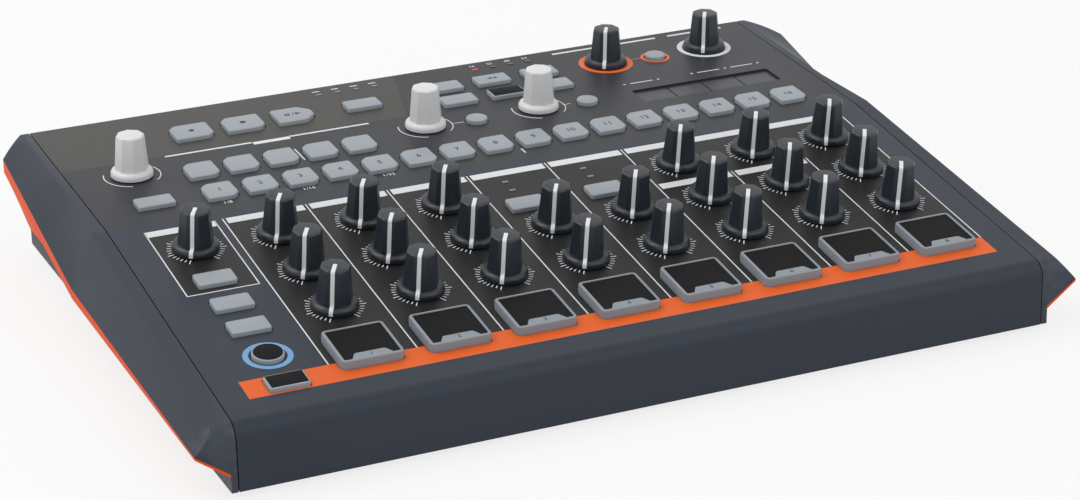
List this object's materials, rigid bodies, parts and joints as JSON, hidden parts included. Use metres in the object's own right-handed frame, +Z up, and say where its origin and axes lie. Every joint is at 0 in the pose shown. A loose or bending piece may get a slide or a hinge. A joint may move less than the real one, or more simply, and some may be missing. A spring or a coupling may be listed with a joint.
{
  "type": "drum machine",
  "caption": "Desktop drum machine: sloped control panel with turning knobs, sprung step keys and drum pads, touch strip, indicator lamps, coloured end trims and rear sockets.",
  "frame": {"origin": "on the table, under the middle of the whole machine", "axes": "+X to the right along the panel, +Y to the rear, +Z up"},
  "size_m": [0.349, 0.2484, 0.0649],
  "materials": {
    "cover_paint": "satin powder coat",
    "cap_plastic": "fine moulded grain",
    "tray_paint": "satin black",
    "trim_orange": "semi gloss",
    "board": "solder mask",
    "pot_metal": "plated",
    "screw_steel": "blackened",
    "foot_rubber": "matte",
    "strip_plastic": "smooth",
    "lens": "clear red",
    "socket_plastic": "plain",
    "socket_metal": "plated",
    "switch_plastic": "plain",
    "key_plastic": "fine grain",
    "knob_plastic": "fine grain",
    "encoder_plastic": "smooth",
    "pad_plastic": "fine grain"
  },
  "bodies": {
    "chassis": {"top_cover": "cover_paint", "bottom_tray": "tray_paint", "left_end_cap": "cap_plastic", "right_end_cap": "cap_plastic", "left_trim": "trim_orange", "right_trim": "trim_orange", "front_board": "board", "rear_board": "board", "pot_bodies": "pot_metal", "board_posts": "pot_metal", "case_screws": "screw_steel", "rubber_feet": "foot_rubber", "touch_strip": "strip_plastic", "indicator_lenses": "lens", "audio_jacks": "socket_plastic", "midi_sockets": "socket_plastic", "dc_inlet": "socket_plastic", "usb_socket": "socket_metal"},
    "knob_metronome_body": {"knob_metronome": "knob_plastic"},
    "knob_1_level_body": {"knob_1_level": "knob_plastic"},
    "knob_1_middle_body": {"knob_1_middle": "knob_plastic"},
    "knob_1_top_body": {"knob_1_top": "knob_plastic"},
    "knob_2_level_body": {"knob_2_level": "knob_plastic"},
    "knob_2_middle_body": {"knob_2_middle": "knob_plastic"},
    "knob_2_top_body": {"knob_2_top": "knob_plastic"},
    "knob_3_level_body": {"knob_3_level": "knob_plastic"},
    "knob_3_middle_body": {"knob_3_middle": "knob_plastic"},
    "knob_3_top_body": {"knob_3_top": "knob_plastic"},
    "knob_4_level_body": {"knob_4_level": "knob_plastic"},
    "knob_4_middle_body": {"knob_4_middle": "knob_plastic"},
    "knob_5_level_body": {"knob_5_level": "knob_plastic"},
    "knob_5_middle_body": {"knob_5_middle": "knob_plastic"},
    "knob_6_level_body": {"knob_6_level": "knob_plastic"},
    "knob_6_middle_body": {"knob_6_middle": "knob_plastic"},
    "knob_6_top_body": {"knob_6_top": "knob_plastic"},
    "knob_7_level_body": {"knob_7_level": "knob_plastic"},
    "knob_7_middle_body": {"knob_7_middle": "knob_plastic"},
    "knob_7_top_body": {"knob_7_top": "knob_plastic"},
    "knob_8_level_body": {"knob_8_level": "knob_plastic"},
    "knob_8_middle_body": {"knob_8_middle": "knob_plastic"},
    "knob_8_top_body": {"knob_8_top": "knob_plastic"},
    "knob_distortion_body": {"knob_distortion": "knob_plastic"},
    "knob_master_body": {"knob_master": "knob_plastic"},
    "encoder_tempo_body": {"encoder_tempo": "encoder_plastic"},
    "encoder_swing_body": {"encoder_swing": "encoder_plastic"},
    "encoder_random_body": {"encoder_random": "encoder_plastic"},
    "pad_1_body": {"pad_1": "pad_plastic"},
    "pad_2_body": {"pad_2": "pad_plastic"},
    "pad_3_body": {"pad_3": "pad_plastic"},
    "pad_4_body": {"pad_4": "pad_plastic"},
    "pad_5_body": {"pad_5": "pad_plastic"},
    "pad_6_body": {"pad_6": "pad_plastic"},
    "pad_7_body": {"pad_7": "pad_plastic"},
    "pad_8_body": {"pad_8": "pad_plastic"},
    "step_buttons_body": {"step_buttons": "key_plastic"},
    "mode_buttons_body": {"mode_buttons": "key_plastic"},
    "transport_buttons_body": {"transport_buttons": "key_plastic"},
    "menu_buttons_body": {"menu_buttons": "key_plastic"},
    "channel_buttons_body": {"channel_buttons": "key_plastic"},
    "power_switch_body": {"power_switch": "switch_plastic"}
  },
  "joints": [
    {"name": "knob_metronome_turn", "type": "hinge", "parent": "chassis", "child": "knob_metronome_body", "pos_m": [-0.1328, -0.00452, 0.04217], "axis": [0, -0.1297, 0.9916], "range_deg": [-300, 0]},
    {"name": "knob_1_level_turn", "type": "hinge", "parent": "chassis", "child": "knob_1_level_body", "pos_m": [-0.0997, -0.06084, 0.0348], "axis": [0, -0.1297, 0.9916], "range_deg": [-300, 0]},
    {"name": "knob_1_middle_turn", "type": "hinge", "parent": "chassis", "child": "knob_1_middle_body", "pos_m": [-0.0997, -0.03258, 0.0385], "axis": [0, -0.1297, 0.9916], "range_deg": [-300, 0]},
    {"name": "knob_1_top_turn", "type": "hinge", "parent": "chassis", "child": "knob_1_top_body", "pos_m": [-0.0997, -0.00452, 0.04217], "axis": [0, -0.1297, 0.9916], "range_deg": [-300, 0]},
    {"name": "knob_2_level_turn", "type": "hinge", "parent": "chassis", "child": "knob_2_level_body", "pos_m": [-0.06643, -0.06084, 0.0348], "axis": [0, -0.1297, 0.9916], "range_deg": [-300, 0]},
    {"name": "knob_2_middle_turn", "type": "hinge", "parent": "chassis", "child": "knob_2_middle_body", "pos_m": [-0.06643, -0.03258, 0.0385], "axis": [0, -0.1297, 0.9916], "range_deg": [-300, 0]},
    {"name": "knob_2_top_turn", "type": "hinge", "parent": "chassis", "child": "knob_2_top_body", "pos_m": [-0.06643, -0.00452, 0.04217], "axis": [0, -0.1297, 0.9916], "range_deg": [-300, 0]},
    {"name": "knob_3_level_turn", "type": "hinge", "parent": "chassis", "child": "knob_3_level_body", "pos_m": [-0.03316, -0.06084, 0.0348], "axis": [0, -0.1297, 0.9916], "range_deg": [-300, 0]},
    {"name": "knob_3_middle_turn", "type": "hinge", "parent": "chassis", "child": "knob_3_middle_body", "pos_m": [-0.03316, -0.03258, 0.0385], "axis": [0, -0.1297, 0.9916], "range_deg": [-300, 0]},
    {"name": "knob_3_top_turn", "type": "hinge", "parent": "chassis", "child": "knob_3_top_body", "pos_m": [-0.03316, -0.00452, 0.04217], "axis": [0, -0.1297, 0.9916], "range_deg": [-300, 0]},
    {"name": "knob_4_level_turn", "type": "hinge", "parent": "chassis", "child": "knob_4_level_body", "pos_m": [0.00011, -0.06084, 0.0348], "axis": [0, -0.1297, 0.9916], "range_deg": [-300, 0]},
    {"name": "knob_4_middle_turn", "type": "hinge", "parent": "chassis", "child": "knob_4_middle_body", "pos_m": [0.00011, -0.03258, 0.0385], "axis": [0, -0.1297, 0.9916], "range_deg": [-300, 0]},
    {"name": "knob_5_level_turn", "type": "hinge", "parent": "chassis", "child": "knob_5_level_body", "pos_m": [0.03338, -0.06084, 0.0348], "axis": [0, -0.1297, 0.9916], "range_deg": [-300, 0]},
    {"name": "knob_5_middle_turn", "type": "hinge", "parent": "chassis", "child": "knob_5_middle_body", "pos_m": [0.03338, -0.03258, 0.0385], "axis": [0, -0.1297, 0.9916], "range_deg": [-300, 0]},
    {"name": "knob_6_level_turn", "type": "hinge", "parent": "chassis", "child": "knob_6_level_body", "pos_m": [0.06665, -0.06084, 0.0348], "axis": [0, -0.1297, 0.9916], "range_deg": [-300, 0]},
    {"name": "knob_6_middle_turn", "type": "hinge", "parent": "chassis", "child": "knob_6_middle_body", "pos_m": [0.06665, -0.03258, 0.0385], "axis": [0, -0.1297, 0.9916], "range_deg": [-300, 0]},
    {"name": "knob_6_top_turn", "type": "hinge", "parent": "chassis", "child": "knob_6_top_body", "pos_m": [0.06665, -0.00452, 0.04217], "axis": [0, -0.1297, 0.9916], "range_deg": [-300, 0]},
    {"name": "knob_7_level_turn", "type": "hinge", "parent": "chassis", "child": "knob_7_level_body", "pos_m": [0.09992, -0.06084, 0.0348], "axis": [0, -0.1297, 0.9916], "range_deg": [-300, 0]},
    {"name": "knob_7_middle_turn", "type": "hinge", "parent": "chassis", "child": "knob_7_middle_body", "pos_m": [0.09992, -0.03258, 0.0385], "axis": [0, -0.1297, 0.9916], "range_deg": [-300, 0]},
    {"name": "knob_7_top_turn", "type": "hinge", "parent": "chassis", "child": "knob_7_top_body", "pos_m": [0.09992, -0.00452, 0.04217], "axis": [0, -0.1297, 0.9916], "range_deg": [-300, 0]},
    {"name": "knob_8_level_turn", "type": "hinge", "parent": "chassis", "child": "knob_8_level_body", "pos_m": [0.13319, -0.06084, 0.0348], "axis": [0, -0.1297, 0.9916], "range_deg": [-300, 0]},
    {"name": "knob_8_middle_turn", "type": "hinge", "parent": "chassis", "child": "knob_8_middle_body", "pos_m": [0.13319, -0.03258, 0.0385], "axis": [0, -0.1297, 0.9916], "range_deg": [-300, 0]},
    {"name": "knob_8_top_turn", "type": "hinge", "parent": "chassis", "child": "knob_8_top_body", "pos_m": [0.13319, -0.00452, 0.04217], "axis": [0, -0.1297, 0.9916], "range_deg": [-300, 0]},
    {"name": "knob_distortion_turn", "type": "hinge", "parent": "chassis", "child": "knob_distortion_body", "pos_m": [0.0851, 0.10011, 0.04867], "axis": [0, -0.042, 0.9991], "range_deg": [-300, 0]},
    {"name": "knob_master_turn", "type": "hinge", "parent": "chassis", "child": "knob_master_body", "pos_m": [0.1318, 0.10011, 0.04867], "axis": [0, -0.042, 0.9991], "range_deg": [-300, 0]},
    {"name": "encoder_tempo_turn", "type": "hinge", "parent": "chassis", "child": "encoder_tempo_body", "pos_m": [-0.1349, 0.06574, 0.04722], "axis": [0, -0.042, 0.9991], "continuous": true},
    {"name": "encoder_swing_turn", "type": "hinge", "parent": "chassis", "child": "encoder_swing_body", "pos_m": [-0.0118, 0.06574, 0.04722], "axis": [0, -0.042, 0.9991], "continuous": true},
    {"name": "encoder_random_turn", "type": "hinge", "parent": "chassis", "child": "encoder_random_body", "pos_m": [0.0382, 0.06574, 0.04722], "axis": [0, -0.042, 0.9991], "continuous": true},
    {"name": "pad_1_press", "type": "slide", "parent": "chassis", "child": "pad_1_body", "axis": [0, 0.1297, -0.9916], "range_m": [0, 0.0008], "stiffness_N_per_m": 500, "springref_m": -0.002},
    {"name": "pad_2_press", "type": "slide", "parent": "chassis", "child": "pad_2_body", "axis": [0, 0.1297, -0.9916], "range_m": [0, 0.0008], "stiffness_N_per_m": 500, "springref_m": -0.002},
    {"name": "pad_3_press", "type": "slide", "parent": "chassis", "child": "pad_3_body", "axis": [0, 0.1297, -0.9916], "range_m": [0, 0.0008], "stiffness_N_per_m": 500, "springref_m": -0.002},
    {"name": "pad_4_press", "type": "slide", "parent": "chassis", "child": "pad_4_body", "axis": [0, 0.1297, -0.9916], "range_m": [0, 0.0008], "stiffness_N_per_m": 500, "springref_m": -0.002},
    {"name": "pad_5_press", "type": "slide", "parent": "chassis", "child": "pad_5_body", "axis": [0, 0.1297, -0.9916], "range_m": [0, 0.0008], "stiffness_N_per_m": 500, "springref_m": -0.002},
    {"name": "pad_6_press", "type": "slide", "parent": "chassis", "child": "pad_6_body", "axis": [0, 0.1297, -0.9916], "range_m": [0, 0.0008], "stiffness_N_per_m": 500, "springref_m": -0.002},
    {"name": "pad_7_press", "type": "slide", "parent": "chassis", "child": "pad_7_body", "axis": [0, 0.1297, -0.9916], "range_m": [0, 0.0008], "stiffness_N_per_m": 500, "springref_m": -0.002},
    {"name": "pad_8_press", "type": "slide", "parent": "chassis", "child": "pad_8_body", "axis": [0, 0.1297, -0.9916], "range_m": [0, 0.0008], "stiffness_N_per_m": 500, "springref_m": -0.002},
    {"name": "step_buttons_press", "type": "slide", "parent": "chassis", "child": "step_buttons_body", "axis": [0, 0.042, -0.9991], "range_m": [0, 0.0005], "stiffness_N_per_m": 500, "springref_m": -0.002},
    {"name": "mode_buttons_press", "type": "slide", "parent": "chassis", "child": "mode_buttons_body", "axis": [0, 0.042, -0.9991], "range_m": [0, 0.0005], "stiffness_N_per_m": 500, "springref_m": -0.002},
    {"name": "transport_buttons_press", "type": "slide", "parent": "chassis", "child": "transport_buttons_body", "axis": [0, 0.042, -0.9991], "range_m": [0, 0.0005], "stiffness_N_per_m": 500, "springref_m": -0.002},
    {"name": "menu_buttons_press", "type": "slide", "parent": "chassis", "child": "menu_buttons_body", "axis": [0, 0.042, -0.9991], "range_m": [0, 0.0005], "stiffness_N_per_m": 500, "springref_m": -0.002},
    {"name": "channel_buttons_press", "type": "slide", "parent": "chassis", "child": "channel_buttons_body", "axis": [0, 0.1297, -0.9916], "range_m": [0, 0.0005], "stiffness_N_per_m": 500, "springref_m": -0.002},
    {"name": "power_switch_slide", "type": "slide", "parent": "chassis", "child": "power_switch_body", "axis": [1, 0, 0], "range_m": [0, 0.0034]}
  ]
}
